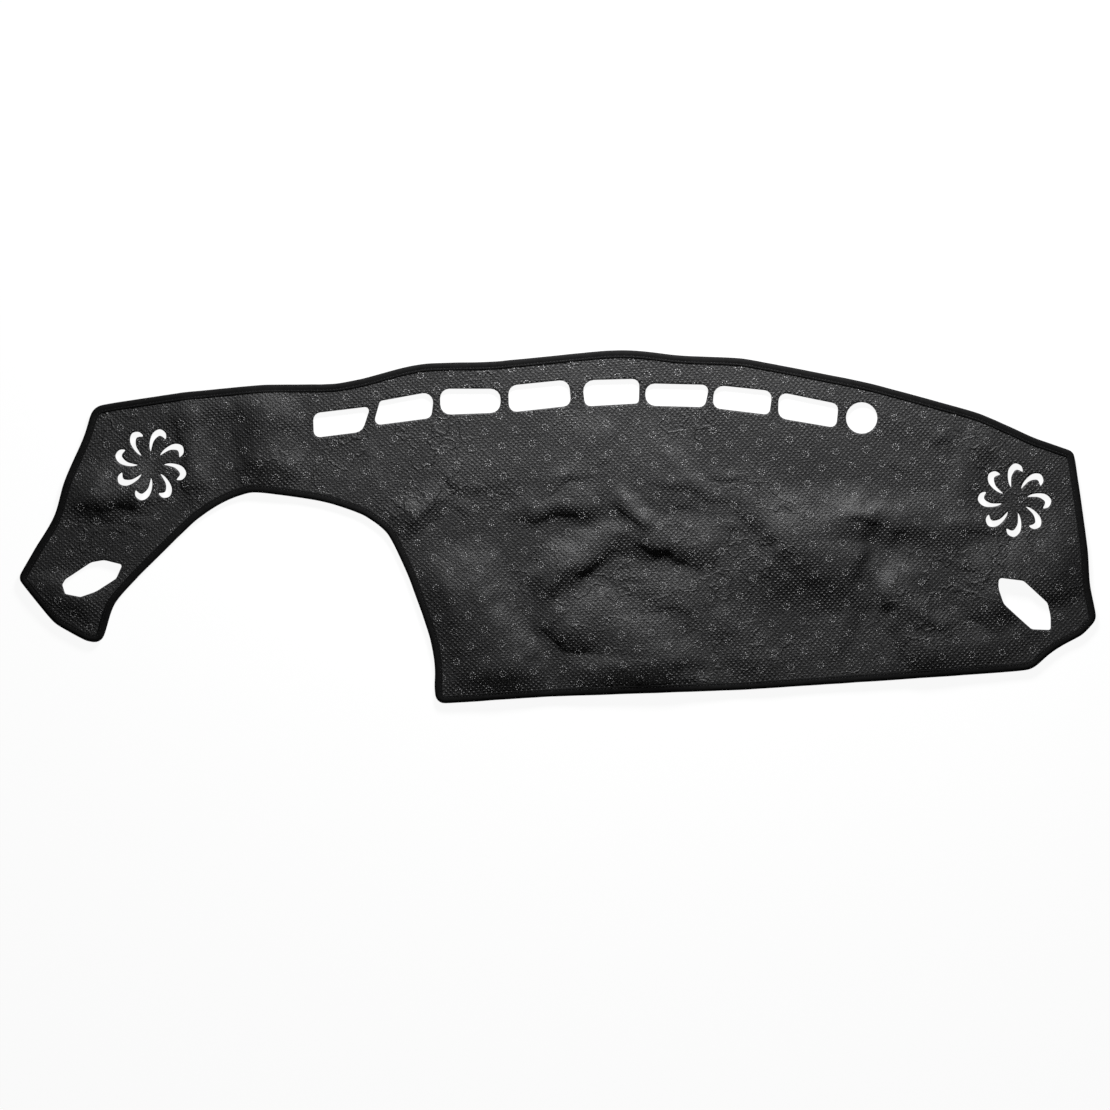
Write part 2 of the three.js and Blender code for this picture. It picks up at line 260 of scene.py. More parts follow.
def without_straight_points(ring, slack=0.02 * MM):
    """The ring without the points that lie on a straight run between their neighbours."""
    kept = list(range(len(ring)))
    changed = True
    while changed:
        changed = False
        for k in range(len(kept)):
            a, b, c = ring[kept[k - 1]], ring[kept[k]], ring[kept[(k + 1) % len(kept)]]
            run = c - a
            off = abs(run[0] * (b - a)[1] - run[1] * (b - a)[0]) / max(np.hypot(*run), 1e-12)
            if off < slack:
                del kept[k]
                changed = True
                break
    return ring[kept]


def resampled(ring, step):
    """The same ring with points about a step apart, keeping its corners."""
    following = np.roll(ring, -1, axis=0)
    made = []
    for a, b in zip(ring, following):
        count = max(1, int(round(np.hypot(*(b - a)) / step)))
        made.extend(a + (b - a) * k / count for k in range(count))
    return np.array(made)


def between(p, q, start, end, s):
    """The place between p, reached at start, and q, reached at end."""
    return p * (end - s) / (end - start) + q * (s - start) / (end - start)


def rounded(ring, step):
    """A smooth closed curve through the ring's points (centripetal Catmull-Rom), about a step apart."""
    count = len(ring)
    made = []
    for i in range(count):
        p = [ring[(i + k) % count] for k in (-1, 0, 1, 2)]
        t = [0.0]
        for k in range(3):
            t.append(t[-1] + max(np.hypot(*(p[k + 1] - p[k])), 1e-9) ** 0.5)
        pieces = max(1, int(round(np.hypot(*(p[2] - p[1])) / step)))
        for k in range(pieces):
            s = t[1] + (t[2] - t[1]) * k / pieces
            a = [between(p[j], p[j + 1], t[j], t[j + 1], s) for j in range(3)]
            b = [between(a[j], a[j + 1], t[j], t[j + 2], s) for j in range(2)]
            made.append(between(b[0], b[1], t[1], t[2], s))
    return np.array(made)


def outward_normals(ring):
    """Unit normals that point out of a counter-clockwise ring."""
    along = np.roll(ring, -1, axis=0) - np.roll(ring, 1, axis=0)
    along /= np.maximum(np.linalg.norm(along, axis=1, keepdims=True), 1e-12)
    return np.stack([along[:, 1], -along[:, 0]], axis=1)


def inside_ring(ring, xy):
    """Which points lie inside the ring."""
    result = np.zeros(len(xy), dtype=bool)
    x, y = xy[:, 0], xy[:, 1]
    low, high = ring.min(axis=0), ring.max(axis=0)
    near = (x >= low[0]) & (x <= high[0]) & (y >= low[1]) & (y <= high[1])
    x, y = x[near], y[near]
    odd = np.zeros(len(x), dtype=bool)
    for a, b in zip(ring, np.roll(ring, -1, axis=0)):
        if a[1] == b[1]:
            continue
        odd ^= ((a[1] > y) != (b[1] > y)) & (x < a[0] + (y - a[1]) * (b[0] - a[0]) / (b[1] - a[1]))
    result[near] = odd
    return result


def distance_to(points, xy):
    """Distance from each place to the nearest of these points."""
    result = np.empty(len(xy))
    for start in range(0, len(xy), 20000):
        part = xy[start : start + 20000]
        gap = (part[:, None, 0] - points[None, :, 0]) ** 2 + (part[:, None, 1] - points[None, :, 1]) ** 2
        result[start : start + 20000] = np.sqrt(gap.min(axis=1))
    return result


class HeightField:
    """Heights on a square grid, read anywhere by bilinear interpolation."""

    def __init__(self, low, high, step):
        self.low = np.array(low)
        self.step = step
        self.shape = tuple(int(math.ceil((high[k] - low[k]) / step)) + 2 for k in (0, 1))
        self.values = np.zeros(self.shape)

    def places(self):
        x = self.low[0] + np.arange(self.shape[0]) * self.step
        y = self.low[1] + np.arange(self.shape[1]) * self.step
        return np.stack(np.meshgrid(x, y, indexing="ij"), axis=-1)

    def at(self, xy):
        place = (np.asarray(xy) - self.low) / self.step
        place = np.clip(place, 0, np.array(self.shape) - 1.001)
        whole = place.astype(int)
        part = place - whole
        i, j = whole[..., 0], whole[..., 1]
        u, v = part[..., 0], part[..., 1]
        h = self.values
        near = h[i, j] * (1 - u) + h[i + 1, j] * u
        far = h[i, j + 1] * (1 - u) + h[i + 1, j + 1] * u
        return near * (1 - v) + far * v


def wander(xy, length, reach, seed):
    """A smooth uneven shift for each place, so that no crease runs dead straight."""
    rng = np.random.default_rng(seed)
    shift = np.zeros_like(xy)
    for _ in range(WAVES):
        angle, phase, turn = rng.uniform(0, 2 * math.pi, 3)
        wave = 2 * math.pi / (length * rng.uniform(0.6, 1.6))
        swing = np.sin((xy @ np.array([math.cos(angle), math.sin(angle)])) * wave + phase)
        shift += np.outer(swing, [math.cos(turn), math.sin(turn)])
    return shift * reach / 2


def wandered(xy):
    """Where the creases' tables put each place, once they wander."""
    moved = xy
    for length, reach, seed in WANDERS:
        moved = moved + wander(xy, length, reach, seed)
    return moved


def near_a_foot(xy):
    """Which places lie close to the foot of a sharp crease."""
    feet = []
    for points, *_ in WRINKLES:
        run = np.array(points) * MM
        for a, b in zip(run[:-1], run[1:]):
            count = int(np.hypot(*(b - a)) / (2 * MM)) + 2
            feet.extend(a + (b - a) * k / (count - 1) for k in range(count))
    return distance_to(np.array(feet), wandered(xy)) < FOOT_BAND


def crease_height(start, end, rise, left, right, xy):
    """A broad crease: a rounded crest between two points, with its own reach on each side."""
    start, end = np.array(start) * MM, np.array(end) * MM
    length = np.hypot(*(end - start))
    step = (end - start) / length
    off = xy - start
    along = off @ step
    right_of = off[:, 0] * step[1] - off[:, 1] * step[0]
    fade = CREASE_FADE * length
    ends = smoothstep((along + fade / 2) / fade) * smoothstep((length - along + fade / 2) / fade)
    share = np.clip(np.abs(right_of) / (np.where(right_of < 0, left, right) * MM), 0, 1)
    return rise * MM * ends * (1 - share**2) ** 2


def wrinkle_height(points, rise, fall, back, xy):
    """A crease with a sharp foot along a run of points, a round crest to its left and a slow fall behind."""
    run = np.array(points, dtype=float) * MM
    lengths = np.hypot(*(run[1:] - run[:-1]).T)
    total = lengths.sum()
    nearest = np.full(len(xy), np.inf)
    left_of = np.zeros(len(xy))
    along = np.zeros(len(xy))
    before = 0.0
    for a, b, length in zip(run[:-1], run[1:], lengths):
        step = (b - a) / length
        s = np.clip((xy - a) @ step, 0, length)
        off = xy - a - s[:, None] * step
        gap = np.hypot(off[:, 0], off[:, 1])
        closer = gap < nearest
        nearest[closer] = gap[closer]
        cross = step[0] * off[:, 1] - step[1] * off[:, 0]
        left_of[closer] = np.copysign(gap, cross)[closer]
        along[closer] = before + s[closer]
        before += length
    climb = np.clip(left_of / (fall * MM), 0, 1)
    behind = smoothstep((left_of / MM - fall) / back)
    fade = WRINKLE_FADE * total
    ends = smoothstep(along / fade) * smoothstep((total - along) / fade)
    return rise * MM * ends * (1 - (1 - climb) ** 2) * (1 - behind)


sheet_points, sheet_triangles, sheet_normals = node_triangles("mat_sheet")
top_side = sheet_triangles[sheet_normals[:, 2] > 0.5]
sheet_rings = [without_straight_points(ring) for ring in plan_rings(sheet_points, top_side)]
tape_points, tape_triangles, tape_normals = node_triangles("edge_binding")
tape_rings = plan_rings(tape_points, tape_triangles[tape_normals[:, 2] > 0.3])
outline = tape_rings[0] if ring_area(tape_rings[0]) > 0 else tape_rings[0][::-1]
outline = rounded(without_straight_points(outline, 0.001 * MM), CUT_STEP)

field = HeightField(FIELD_LOW, FIELD_HIGH, GRID)
places = field.places().reshape(-1, 2)
edge_distance = distance_to(outline, places)
relief = np.zeros(len(places))
wandering = wandered(places)
for crease in CREASES:
    relief += crease_height(*crease, wandering)
for wrinkle in WRINKLES:
    relief += wrinkle_height(*wrinkle, wandering)
calm = CALM_SHARE + (1 - CALM_SHARE) * smoothstep(edge_distance / CALM_BAND)
lift = TAPE_LIFT * (1 - smoothstep((edge_distance - LIFT_BAND) / LIFT_FALL))
field.values = (lift + calm * relief).reshape(field.shape)


def link(obj):
    bpy.context.scene.collection.objects.link(obj)
    return obj


def mesh_object(name, vertices, faces, materials, smooth=True):
    mesh = bpy.data.meshes.new(name)
    mesh.from_pydata([tuple(v) for v in vertices], [], [tuple(f) for f in faces])
    mesh.validate()
    for material in materials:
        mesh.materials.append(material)
    mesh.polygons.foreach_set("use_smooth", [smooth] * len(mesh.polygons))
    mesh.update()
    return link(bpy.data.objects.new(name, mesh))


# Materials. Each is made of nodes on the object's own coordinates.


class Nodes:
    """Short names for building one material's node tree."""

    def __init__(self, name):
        self.material = bpy.data.materials.new(name)
        self.material.use_nodes = True
        self.tree = self.material.node_tree
        self.shader = self.tree.nodes["Principled BSDF"]
        source = self.tree.nodes.new("ShaderNodeTexCoord")
        self.place = source.outputs["Object"]
        self.facing = source.outputs["Normal"]

    def add(self, kind, **settings):
        node = self.tree.nodes.new("ShaderNode" + kind)
        for key, value in settings.items():
            setattr(node, key, value)
        return node

    def join(self, output, target):
        self.tree.links.new(output, target)

    def math(self, operation, a, b=None):
        node = self.add("Math", operation=operation)
        for socket, value in zip(node.inputs, (a, b)):
            if value is None:
                continue
            if hasattr(value, "links"):
                self.join(value, socket)
            else:
                socket.default_value = value
        return node.outputs[0]

    def side(self, axis):
        """How far the surface faces along one axis of the object."""
        split = self.add("SeparateXYZ")
        self.join(self.facing, split.inputs[0])
        return split.outputs[axis]

    def mapped(self, scale=(1, 1, 1), turn=0.0, vector=None):
        node = self.add("Mapping")
        node.inputs["Scale"].default_value = scale
        node.inputs["Rotation"].default_value = (0, 0, turn)
        self.join(vector or self.place, node.inputs["Vector"])
        return node.outputs[0]

    def shifted(self, amount, scale):
        """The object's coordinates, shifted unevenly by about this amount."""
        noise = self.add("TexNoise")
        noise.inputs["Scale"].default_value = scale
        noise.inputs["Detail"].default_value = 1.0
        self.join(self.place, noise.inputs["Vector"])
        centred = self.add("VectorMath", operation="SUBTRACT")
        centred.inputs[1].default_value = (0.5, 0.5, 0.5)
        self.join(noise.outputs["Color"], centred.inputs[0])
        scaled = self.add("VectorMath", operation="SCALE")
        scaled.inputs["Scale"].default_value = 2 * amount
        self.join(centred.outputs[0], scaled.inputs[0])
        total = self.add("VectorMath", operation="ADD")
        self.join(scaled.outputs[0], total.inputs[0])
        self.join(self.place, total.inputs[1])
        return total.outputs[0]

    def noise(self, scale, detail=3.0, roughness=0.6, vector=None):
        node = self.add("TexNoise")
        node.inputs["Scale"].default_value = scale
        node.inputs["Detail"].default_value = detail
        node.inputs["Roughness"].default_value = roughness
        self.join(vector or self.place, node.inputs["Vector"])
        return node.outputs["Fac"]

    def ramp(self, value, stops):
        node = self.add("ValToRGB")
        elements = node.color_ramp.elements
        for k, (position, color) in enumerate(stops):
            element = elements[k] if k < len(elements) else elements.new(position)
            element.position = position
            element.color = (*color, 1)
        self.join(value, node.inputs["Fac"])
        return node.outputs["Color"]

    def bump(self, height, distance, under=None):
        node = self.add("Bump")
        node.inputs["Distance"].default_value = distance
        self.join(height, node.inputs["Height"])
        if under is not None:
            self.join(under, node.inputs["Normal"])
        return node.outputs["Normal"]

    def finish(self, color=None, roughness=None, normal=None, **values):
        for socket, value in (("Base Color", color), ("Roughness", roughness), ("Normal", normal)):
            if value is None:
                continue
            if hasattr(value, "links"):
                self.join(value, self.shader.inputs[socket])
            else:
                self.shader.inputs[socket].default_value = value
        for socket, value in values.items():
            self.shader.inputs[socket.replace("_", " ")].default_value = value
        return self.material


def backing_material():
    """Black backing film on the felt, semi-gloss, embossed all over with small raised grains."""
    n = Nodes("felt_backing")
    wave = 2 * math.pi / EMBOSS_PITCH
    # Grains: the crests of two crossed waves, fuller on slopes that face away from the windscreen.
    uneven = n.shifted(EMBOSS_SHIFT, 140)
    turned = n.mapped(scale=(wave, wave, wave), turn=-(CLOTH_TURN + math.radians(45)), vector=uneven)
    split = n.add("SeparateXYZ")
    n.join(turned, split.inputs[0])
    across = n.math("SINE", split.outputs["X"])
    along = n.math("SINE", split.outputs["Y"])
    grains = n.math("MAXIMUM", n.math("MULTIPLY", n.math("ADD", across, along), 0.5), 0.0)
    away = n.math("SUBTRACT", 0.5, n.side("Y"))
    kept = n.ramp(away, [(0.5, (0.35, 0.35, 0.35)), (0.64, (1, 1, 1))])
    worn = n.ramp(n.noise(11, 3.0), [(0.42, (0.35, 0.35, 0.35)), (0.62, (1, 1, 1))])
    relief = n.math("MULTIPLY", grains, n.math("MAXIMUM", kept, n.math("MULTIPLY", worn, 0.6)))
    emboss = n.bump(relief, EMBOSS_DEPTH)
    # Over them a fine crumple, and in patches the contours of a noise, as thin folds.
    crumple = n.noise(420, 3.0, 0.65)
    rough = n.bump(crumple, CRUMPLE_DEPTH, under=emboss)
    contour = n.math("ABSOLUTE", n.math("SUBTRACT", n.noise(24, 3.0, 0.5), 0.5))
    folds = n.ramp(contour, [(0.0, (1, 1, 1)), (0.02, (0, 0, 0))])
    patches = n.ramp(n.noise(6, 2.0), [(0.47, (0, 0, 0)), (0.62, (1, 1, 1))])
    normal = n.bump(n.math("MULTIPLY", folds, patches), FOLD_DEPTH, under=rough)
    # A slightly uneven black, with a gloss that varies from grain to grain.
    cloudy = n.noise(7, 3.0, 0.5)
    color = n.ramp(cloudy, [(0.3, (0.030, 0.030, 0.031)), (0.7, (0.048, 0.048, 0.049))])
    grain = n.noise(640, 2.0, 0.7)
    shine = n.ramp(grain, [(0.3, (0.2, 0.2, 0.2)), (0.7, (0.8, 0.8, 0.8))])
    n.join(shine, n.shader.inputs["Specular IOR Level"])
    return n.finish(color=color, roughness=FILM_ROUGHNESS, normal=normal)


def plush_material():
    """The face that lies on the floor: short black pile."""
    n = Nodes("plush_face")
    pile = n.noise(900, 5.0, 0.75)
    nap = n.noise(18, 3.0, 0.5)
    color = n.ramp(nap, [(0.35, (0.016, 0.016, 0.017)), (0.7, (0.028, 0.028, 0.03))])
    normal = n.bump(pile, 0.35 * MM)
    return n.finish(color=color, roughness=0.95, normal=normal, Specular_IOR_Level=0.15, Sheen_Weight=0.5)


def cut_material():
    """The cut edge of the laminate."""
    n = Nodes("cut_felt")
    layers = n.noise(1, 4.0, 0.6, vector=n.mapped(scale=(300, 300, 1500)))
    color = n.ramp(layers, [(0.3, (0.014, 0.014, 0.014)), (0.7, (0.035, 0.035, 0.036))])
    normal = n.bump(layers, 0.2 * MM)
    return n.finish(color=color, roughness=0.92, normal=normal, Specular_IOR_Level=0.2)


def tape_material():
    """Black woven binding tape: fine ribs across it, its colour uneven with the weave and lighter on their
    crests, a painted sheen.
    """
    n = Nodes("binding_tape")
    weave = n.noise(2600, 2.0, 0.5)
    slub = n.noise(160, 3.0, 0.6)
    weave_and_sheen = n.math("ADD", n.math("MULTIPLY", weave, 0.6), n.math("MULTIPLY", slub, 0.4))
    # The colour follows the same noise as the bump: the weave's own uneven tone, and lighter on its crests
    # as a painted sheen.
    color = n.ramp(weave_and_sheen, [(0.35, (0.006, 0.006, 0.0062)), (0.68, (0.018, 0.018, 0.0185))])
    normal = n.bump(weave_and_sheen, 0.2 * MM)
    return n.finish(color=color, roughness=0.78, normal=normal, Specular_IOR_Level=0.1)


def thread_material():
    """Black polyester thread, twisted."""
    n = Nodes("sewing_thread")
    twist = n.noise(1, 2.0, 0.5, vector=n.mapped(scale=(2500, 2500, 2500)))
    color = n.ramp(twist, [(0.3, (0.008, 0.008, 0.009)), (0.7, (0.022, 0.022, 0.024))])
    return n.finish(color=color, roughness=0.5, normal=n.bump(twist, 0.08 * MM), Specular_IOR_Level=0.5)


def dot_material():
    """Small grey rubbery dots."""
    n = Nodes("grip_dots")
    worn = n.noise(260, 2.0, 0.6)
    color = n.ramp(worn, [(0.35, (0.34, 0.34, 0.345)), (0.7, (0.72, 0.72, 0.73))])
    return n.finish(color=color, roughness=0.5, normal=n.bump(worn, 0.05 * MM), Specular_IOR_Level=0.45)


def slit_ring(ring, wheel):
    """One slit of a pinwheel, at the place and angle of the solid's own, with its full hook."""
    root = ring[np.argmin(np.hypot(*(ring - wheel).T))] - wheel
    ahead = root / np.hypot(*root)
    clockwise = np.array([ahead[1], -ahead[0]])
    shape = np.array(SLIT) * MM
    return wheel + shape[:, :1] * ahead + shape[:, 1:] * clockwise


def opening_rings():
    """The openings' rings, counter-clockwise, with the pinwheels' slits redrawn."""
    counter = [ring if ring_area(ring) > 0 else ring[::-1] for ring in sheet_rings[1:]]
    slits = [ring for ring in counter if ring_area(ring) < SLIT_AREA]
    rings = [resampled(ring, CUT_STEP) for ring in counter if ring_area(ring) >= SLIT_AREA]
    for side in (-1, 1):
        wheel_slits = [ring for ring in slits if ring[0, 0] * side > 0]
        wheel = np.mean([ring.min(axis=0) + ring.max(axis=0) for ring in wheel_slits], axis=0) / 2
        for ring in wheel_slits:
            made = rounded(slit_ring(ring, wheel), SLIT_STEP)
            rings.append(made if ring_area(made) > 0 else made[::-1])
    return rings


def lattice(low, high, step):
    """Places on a triangular lattice over a box."""
    x = np.arange(low[0] + step / 2, high[0], step)
    y = np.arange(low[1] + step / 2, high[1], step * math.sqrt(3) / 2)
    gx, gy = np.meshgrid(x, y, indexing="ij")
    gx = gx + np.where(np.arange(len(y)) % 2, step / 2, 0)[None, :]
    return np.stack([gx.ravel(), gy.ravel()], axis=1)


def sheet_piece():
    """The felt sheet: a fine mesh of both sides, with its cut edges."""
    outer = sheet_rings[0] if ring_area(sheet_rings[0]) > 0 else sheet_rings[0][::-1]
    outer = rounded(outer, RIM_STEP)
    cuts = [outer] + [ring[::-1] for ring in openings]
    inner = [ring - outward_normals(ring) * CUT_BEVEL for ring in cuts]
    border = np.concatenate(inner)
    vertices, faces, slots = [], [], []

    def cover(step, offset, flip, slot_number, fine=None):
        """One side of the sheet: the border rings joined to a grid of points inside them."""
        low, high = outer.min(axis=0), outer.max(axis=0)
        inside = lattice(low, high, step)
        if fine:
            finer = lattice(low, high, fine)
            inside = np.concatenate([inside[~near_a_foot(inside)], finer[near_a_foot(finer)]])
        keep = inside_ring(inner[0], inside)
        for ring in inner[1:]:
            keep &= ~inside_ring(ring, inside)
        inside = inside[keep]
        inside = inside[distance_to(border, inside) > 0.55 * step]
        flat = np.concatenate([border, inside])
        edges, start = [], 0
        for ring in inner:
            count = len(ring)
            edges.extend((start + k, start + (k + 1) % count) for k in range(count))
            start += count
        made = delaunay_2d_cdt([Vector(p) for p in (flat / MM).tolist()], edges, [], 0, 1e-6, True)
        xy = np.array([tuple(v) for v in made[0]]) * MM
        corners = np.array(made[2])
        middle = xy[corners].mean(axis=1)
        keep = inside_ring(inner[0], middle)
        for ring in inner[1:]:
            keep &= ~inside_ring(ring, middle)
        corners = corners[keep]
        a, b, c = xy[corners[:, 0]], xy[corners[:, 1]], xy[corners[:, 2]]
        turn = (b - a)[:, 0] * (c - a)[:, 1] - (b - a)[:, 1] * (c - a)[:, 0]
        wrong = (turn > 0) == flip
        corners[wrong] = corners[wrong][:, ::-1]
        base = len(vertices)
        first = {}
        for k, origins in enumerate(made[3]):
            for origin in origins:
                first.setdefault(origin, base + k)
        vertices.extend(np.column_stack([xy, field.at(xy) + offset]).tolist())
        faces.extend((corners + base).tolist())
        slots.extend([slot_number] * len(corners))
        return [first[k] for k in range(len(border))]

    top = cover(MESH_STEP, SHEET_THICKNESS, False, 0, FOOT_STEP)
    bottom = cover(UNDER_STEP, 0.0, True, 1)
    start = 0
    for ring in cuts:
        count = len(ring)
        height = field.at(ring)
        upper, lower = len(vertices), len(vertices) + count
        vertices.extend(np.column_stack([ring, height + SHEET_THICKNESS - CUT_BEVEL]).tolist())
        vertices.extend(np.column_stack([ring, height + CUT_BEVEL * 0.8]).tolist())
        for k in range(count):
            m = (k + 1) % count
            faces.append((top[start + k], upper + k, upper + m, top[start + m]))
            faces.append((upper + k, lower + k, lower + m, upper + m))
            faces.append((lower + k, bottom[start + k], bottom[start + m], lower + m))
            slots.extend([0, 2, 1])
        start += count
    materials = [backing_material(), plush_material(), cut_material()]
    piece = mesh_object("felt_sheet", vertices, faces, materials)
    piece.data.polygons.foreach_set("material_index", slots)
    return piece


def swept(name, section, material):
    """A closed section of inset, height above the sheet's underside and looseness, carried round the mat."""
    normals = outward_normals(outline)
    count, size = len(outline), len(section)
    ripple = np.random.default_rng(RIPPLE_SEED).normal(0, 1, count)
    kernel = np.exp(-0.5 * (np.arange(-8, 9) / RIPPLE_WIDTH) ** 2)
    ripple = np.convolve(np.concatenate([ripple[-8:], ripple, ripple[:8]]), kernel / kernel.sum(), "valid")
    vertices = []
    for inset, height, loose in section:
        ring = outline - normals * (inset * MM)
        lift = field.at(ring) + height * MM + ripple * loose * MM
        vertices.append(np.column_stack([ring - normals * (ripple * loose * 0.6 * MM)[:, None], lift]))
    points = np.stack(vertices, axis=1).reshape(-1, 3)
    faces = []
    for k in range(count):
        here, there = k * size, (k + 1) % count * size
        for j in range(size):
            m = (j + 1) % size
            faces.append((here + j, there + j, there + m, here + m))
    return mesh_object(name, points, faces, [material])


def binding_piece():
    """The tape, folded over the sheet's edge and drawn down along its seam."""
    top = (SHEET_THICKNESS + TAPE_OVER) / MM
    lip = TAPE_LIP / MM
    section = [
        (10.0, -0.95, 0.0),
        (8.6, -1.1, 0.0),
        (5.0, -1.1, 0.0),
        (2.6, -1.08, 0.0),
        (1.2, -0.6, 0.1),
        (0.35, 0.4, 0.25),
        (0.0, 1.6, 0.35),
        (0.35, 2.9, 0.35),
        (1.1, 3.85, 0.3),
        (2.3, top + lip, 0.3),
        (3.8, top + lip + 0.22, 0.3),
        (5.4, top + lip + 0.12, 0.25),
        (6.7, top + lip - 0.12, 0.12),
        (7.6, top + lip - 0.38, 0.05),
        (8.4, top + lip - 0.14, 0.12),
        (9.3, top + lip - 0.18, 0.2),
        (9.9, top + lip - 0.5, 0.15),
        (10.0, top, 0.0),
        (7.6, top - 0.1, 0.0),
        (3.0, top, 0.0),
        (2.1, top - 0.3, 0.0),
        (2.1, 0.15, 0.0),
        (3.0, -0.15, 0.0),
        (10.0, -0.2, 0.0),
    ]
    return swept("bound_edge", section, tape_material())


def thread_piece():
    """The seam: one row of stitches on each side of the tape."""
    inner = outline - outward_normals(outline) * STITCH_INSET
    step = np.hypot(*(np.roll(inner, -1, axis=0) - inner).T)
    along = np.concatenate([[0], np.cumsum(step)])
    total = along[-1]
    count = int(total / STITCH_PITCH)
    closed = np.vstack([inner, inner[:1]])

    def at(s):
        s = s % total
        return np.array([np.interp(s, along, closed[:, 0]), np.interp(s, along, closed[:, 1])])

    top = SHEET_THICKNESS + TAPE_OVER + TAPE_LIP - 0.38 * MM
    vertices, faces = [], []
    sides = THREAD_SIDES
    profile = [
        (0.0, 0.35, -0.5),
        (0.12, 0.85, 0.0),
        (0.5, 1.0, 0.35),
        (0.88, 0.85, 0.0),
        (1.0, 0.35, -0.5),
    ]
    for level, up in ((top, 1.0), (-0.85 * MM, -1.0)):
        for k in range(count):
            a = at(k * total / count)
            b = at(k * total / count + STITCH_LENGTH)
            run = (b - a) / max(np.hypot(*(b - a)), 1e-9)
            aside = np.array([-run[1], run[0]])
            base = len(vertices)
            for share, fat, rise in profile:
                xy = a + (b - a) * share
                z = float(field.at(xy)) + level + up * rise * THREAD_RADIUS
                for m in range(sides):
                    angle = 2 * math.pi * m / sides
                    offset = aside * math.cos(angle) * THREAD_RADIUS * fat
                    vertices.append((*(xy + offset), z + math.sin(angle) * THREAD_RADIUS * fat))
            for ring in range(len(profile) - 1):
                for m in range(sides):
                    n = (m + 1) % sides
                    r, q = base + ring * sides, base + (ring + 1) * sides
                    faces.append((r + m, r + n, q + n, q + m))
            faces.append([base + m for m in reversed(range(sides))])
            last = base + (len(profile) - 1) * sides
            faces.append([last + m for m in range(sides)])
    return mesh_object("binding_stitches", vertices, faces, [thread_material()])


def dots_piece():
    """Rings of small raised dots, printed on a square lattice with one more ring in each square."""
    outer = outline - outward_normals(outline) * DOT_ROOM_AT_EDGE
    cos, sin = math.cos(CLOTH_TURN), math.sin(CLOTH_TURN)
    turn = np.array([[cos, -sin], [sin, cos]])
    centres = []
    for i in range(-DOT_REACH, DOT_REACH + 1):
        for j in range(-DOT_REACH, DOT_REACH + 1):
            if (i + j) % 2 == 0:
                centres.append(turn @ np.array([i, j]) * DOT_PITCH / 2 + DOT_ORIGIN)
    rng = np.random.default_rng(DOT_SEED)
    angles = np.arange(DOTS_IN_RING) * 2 * math.pi / DOTS_IN_RING
    places, sizes = [], []
    for centre in centres:
        start = rng.uniform(0, 2 * math.pi)
        shift = rng.normal(0, DOT_SHIFT, 2)
        for angle in angles + start:
            out = DOT_RING * rng.uniform(0.9, 1.1)
            places.append(centre + shift + out * np.array([math.cos(angle), math.sin(angle)]))
            sizes.append(rng.uniform(0.6, 1.25))
    places, sizes = np.array(places), np.array(sizes)
    keep = inside_ring(outer, places)
    for ring in openings:
        keep &= ~inside_ring(ring + outward_normals(ring) * DOT_ROOM_AT_OPENING, places)
    places, sizes = places[keep], sizes[keep]
    base_height = field.at(places) + SHEET_THICKNESS
    vertices, faces = [], []
    sides = DOT_SIDES
    for (x, y), size, z in zip(places, sizes, base_height):
        base = len(vertices)
        for share, rise in ((1.0, -0.3), (0.85, 0.55), (0.45, 0.92)):
            for m in range(sides):
                angle = 2 * math.pi * m / sides
                out = DOT_RADIUS * size * share
                corner = (x + out * math.cos(angle), y + out * math.sin(angle), z + rise * DOT_HEIGHT)
                vertices.append(corner)
        vertices.append((x, y, z + DOT_HEIGHT))
        for ring in range(2):
            for m in range(sides):
                n = (m + 1) % sides
                r, q = base + ring * sides, base + (ring + 1) * sides
                faces.append((r + m, r + n, q + n, q + m))
        last = base + 2 * sides
        for m in range(sides):
            faces.append((last + m, last + (m + 1) % sides, last + sides))
        faces.append([base + m for m in reversed(range(sides))])
    return mesh_object("anti_slip_dots", vertices, faces, [dot_material()])


openings = opening_rings()
felt = sheet_piece()
binding = binding_piece()
stitches = thread_piece()
dots = dots_piece()

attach(felt, "root")
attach(binding, "root")
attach(stitches, "root")
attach(dots, "root")
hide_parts("mat_sheet")
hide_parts("edge_binding")


# The floor, which is white to the camera and keeps the mat's own shadow.
FLOOR_GLOW = 0.93
FLOOR_SHADE = 0.18


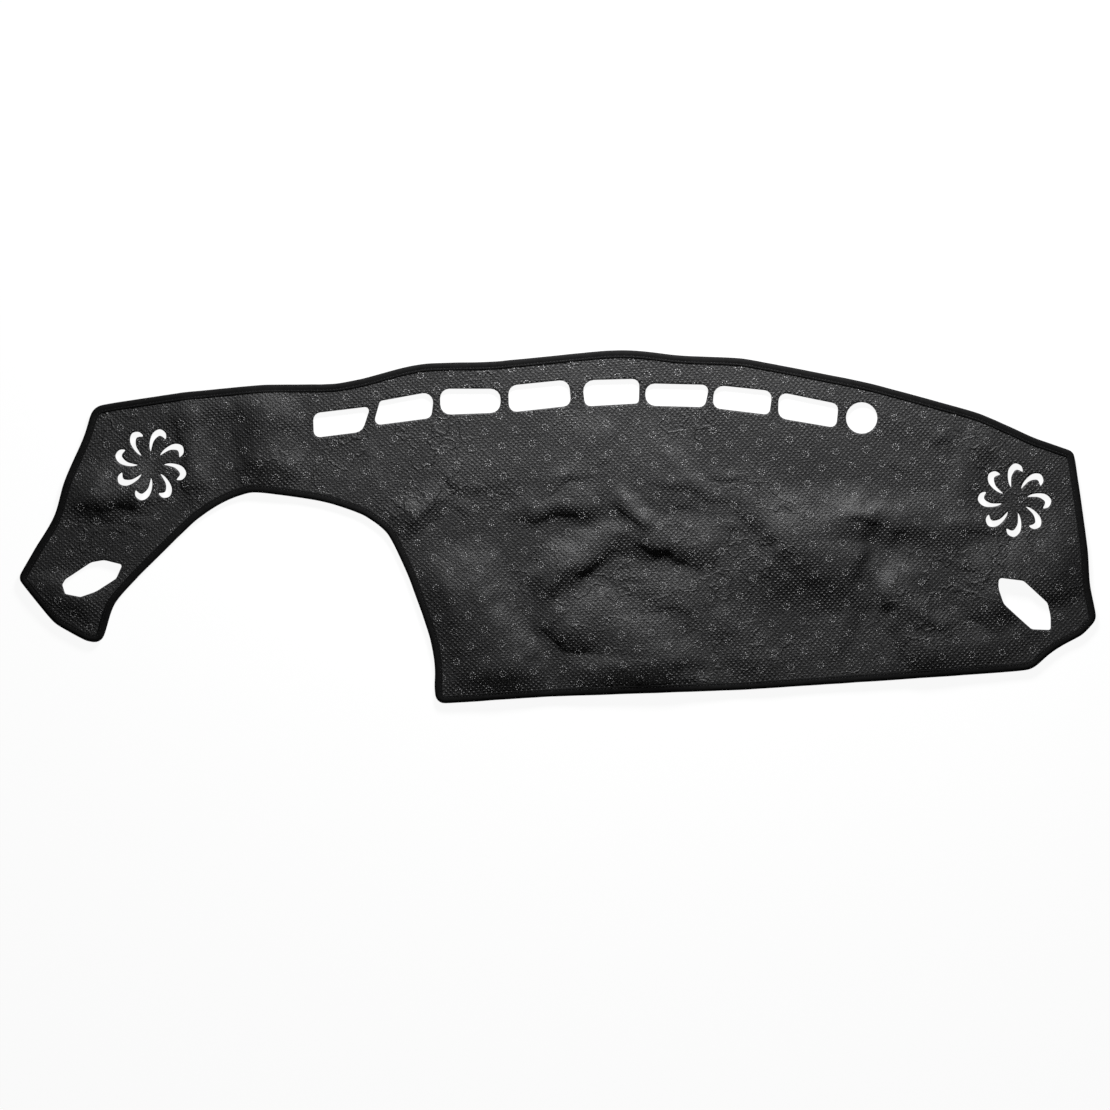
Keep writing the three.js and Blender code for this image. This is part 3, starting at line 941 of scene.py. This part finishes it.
def floor_piece():
    size = 8.0
    corners = [(-size, -size, 0), (size, -size, 0), (size, size, 0), (-size, size, 0)]
    n = Nodes("studio_floor")
    n.finish(color=(FLOOR_SHADE, FLOOR_SHADE, FLOOR_SHADE, 1), roughness=1.0, Specular_IOR_Level=0.0)
    path = n.add("LightPath")
    seen = n.math("MAXIMUM", path.outputs["Is Camera Ray"], path.outputs["Is Glossy Ray"])
    seen = n.math("MAXIMUM", seen, path.outputs["Is Transmission Ray"])
    glow = n.add("Emission")
    glow.inputs["Color"].default_value = (1, 1, 1, 1)
    n.join(n.math("MULTIPLY", seen, FLOOR_GLOW), glow.inputs["Strength"])
    total = n.add("AddShader")
    n.join(n.shader.outputs[0], total.inputs[0])
    n.join(glow.outputs[0], total.inputs[1])
    n.join(total.outputs[0], n.tree.nodes["Material Output"].inputs["Surface"])
    return mesh_object("studio_floor", corners, [(0, 1, 2, 3)], [n.material], smooth=False)


floor = floor_piece()
floor.location.z = -0.0004

AMBIENT = 0.02
world = bpy.data.worlds.new("studio")
bpy.context.scene.world = world
world.use_nodes = True
tree = world.node_tree
ambient = tree.nodes["Background"]
ambient.inputs["Color"].default_value = (1, 1, 1, 1)
ambient.inputs["Strength"].default_value = AMBIENT
white = tree.nodes.new("ShaderNodeBackground")
white.inputs["Color"].default_value = (1, 1, 1, 1)
white.inputs["Strength"].default_value = 1.0
path = tree.nodes.new("ShaderNodeLightPath")
choice = tree.nodes.new("ShaderNodeMixShader")
tree.links.new(path.outputs["Is Camera Ray"], choice.inputs["Fac"])
tree.links.new(ambient.outputs[0], choice.inputs[1])
tree.links.new(white.outputs[0], choice.inputs[2])
tree.links.new(choice.outputs[0], tree.nodes["World Output"].inputs["Surface"])

# One soft lamp stands low beyond the windscreen edge, so that the creases cast their own shade.
LAMP_PLACE = Vector((0.15, 1.05, 0.50))
LAMP_AIM = Vector((0.14, 0.0, 0.0))
LAMP_POWER = 21.5
lamp = bpy.data.lights.new("lamp", "AREA")
lamp.shape = "RECTANGLE"
lamp.size = 0.40
lamp.size_y = 0.22
lamp.energy = LAMP_POWER
lamp_object = link(bpy.data.objects.new("lamp", lamp))
lamp_object.location = LAMP_PLACE
lamp_object.rotation_mode = "QUATERNION"
lamp_object.rotation_quaternion = (LAMP_PLACE - LAMP_AIM).to_track_quat("Z", "Y")
lamp_object.visible_camera = False

# The camera looks straight down through a long lens. The whole frame is 1.445 m wide at the floor.
FRAME_WIDTH = 1.4452
CAMERA_HEIGHT = 6.0
camera_data = bpy.data.cameras.new("camera")
camera_data.sensor_width = 36
camera_data.lens = 36 * CAMERA_HEIGHT / FRAME_WIDTH
camera_data.clip_end = 50
camera = link(bpy.data.objects.new("camera", camera_data))
camera.location = (-0.0031, -0.0374, CAMERA_HEIGHT)
bpy.context.scene.camera = camera
bpy.context.scene.view_settings.view_transform = "Standard"

bpy.context.view_layer.update()
